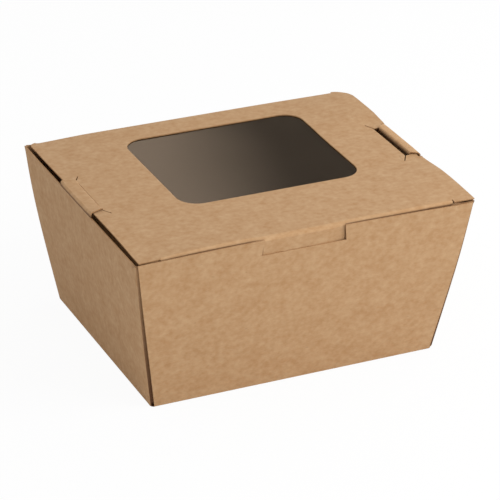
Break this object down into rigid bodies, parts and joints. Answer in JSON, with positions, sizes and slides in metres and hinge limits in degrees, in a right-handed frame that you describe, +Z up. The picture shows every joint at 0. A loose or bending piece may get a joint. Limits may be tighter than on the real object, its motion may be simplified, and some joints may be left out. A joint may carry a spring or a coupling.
{
  "type": "kraft takeout container",
  "caption": "Folded kraft card food box with flared walls, a hinged lid with a clear film window, a tuck flap and two side tongues that lock the lid through slits.",
  "frame": {"origin": "middle of the base, on the surface that the box stands on", "axes": "+X to the right along the front wall, +Y from the front wall to the hinge at the back, +Z up"},
  "size_m": [0.1502, 0.1212, 0.0725],
  "materials": {
    "kraft_card": "unbleached kraft board, matt",
    "clear_film": "clear glossy film"
  },
  "bodies": {
    "box": {"carton": "kraft_card", "window_film": "clear_film"},
    "left_flap": {"left_tongue": "kraft_card"},
    "right_flap": {"right_tongue": "kraft_card"}
  },
  "joints": [
    {"name": "left_tongue_fold", "type": "hinge", "parent": "box", "child": "left_flap", "pos_m": [-0.075, 0.0032, 0.07], "axis": [0, -1, 0], "range_deg": [0, 150]},
    {"name": "right_tongue_fold", "type": "hinge", "parent": "box", "child": "right_flap", "pos_m": [0.075, 0.0032, 0.07], "axis": [0, 1, 0], "range_deg": [0, 150]}
  ]
}
